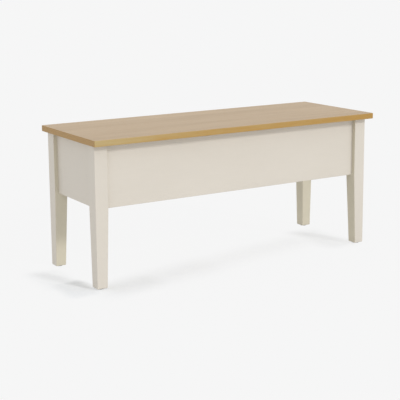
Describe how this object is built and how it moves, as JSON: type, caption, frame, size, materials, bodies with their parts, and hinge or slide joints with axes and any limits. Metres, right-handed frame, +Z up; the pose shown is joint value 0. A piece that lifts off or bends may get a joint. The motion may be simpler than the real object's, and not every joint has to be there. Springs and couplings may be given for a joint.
{
  "type": "storage bench",
  "caption": "Painted bench with tapered legs, deep panelled apron and a lift-up oak lid over a storage well.",
  "frame": {"origin": "on the floor under the middle of the lid", "axes": "+X along the bench to the right as seen from the front, -Y towards the front, +Z up"},
  "size_m": [1.1, 0.4, 0.48],
  "materials": {
    "painted_wood": "satin warm ivory paint over hardwood and board",
    "oak_top": "clear satin lacquer on oak",
    "oak_battens": "clear lacquer on oak",
    "floor_board": "painted plywood",
    "bearer_wood": "planed softwood",
    "glide_plastic": "matte moulded",
    "hinge_steel": "zinc plated, satin",
    "stay_steel": "zinc plated, satin",
    "bumper_rubber": "translucent soft dome"
  },
  "bodies": {
    "bench_frame": {"leg_front_left": "painted_wood", "leg_front_right": "painted_wood", "leg_back_left": "painted_wood", "leg_back_right": "painted_wood", "front_panel": "painted_wood", "back_panel": "painted_wood", "end_panel_left": "painted_wood", "end_panel_right": "painted_wood", "floor_panel": "floor_board", "floor_bearer": "bearer_wood", "foot_glides": "glide_plastic", "hinge_left_frame_leaf": "hinge_steel", "hinge_left_pin": "hinge_steel", "hinge_right_frame_leaf": "hinge_steel", "hinge_right_pin": "hinge_steel", "lid_bumpers": "bumper_rubber", "stay_stud": "stay_steel"},
    "lid": {"lid_board": "oak_top", "lid_batten_left": "oak_battens", "lid_batten_right": "oak_battens", "hinge_left_lid_leaf": "hinge_steel", "hinge_right_lid_leaf": "hinge_steel", "stay_bracket": "stay_steel", "stay_rivet": "stay_steel"},
    "stay_arm": {"stay_arm": "stay_steel"}
  },
  "joints": [
    {"name": "lid_hinge", "type": "hinge", "parent": "bench_frame", "child": "lid", "pos_m": [0, 0.1833, 0.4567], "axis": [-1, 0, 0], "range_deg": [0, 95]},
    {"name": "stay_pivot", "type": "hinge", "parent": "lid", "child": "stay_arm", "pos_m": [0.501, 0.08866, 0.44842], "axis": [-1, 0, 0], "range_deg": [-47.5, 0]}
  ],
  "couplings": [
    {"joint": "stay_pivot", "follows": "lid_hinge", "ratio": -0.5}
  ]
}
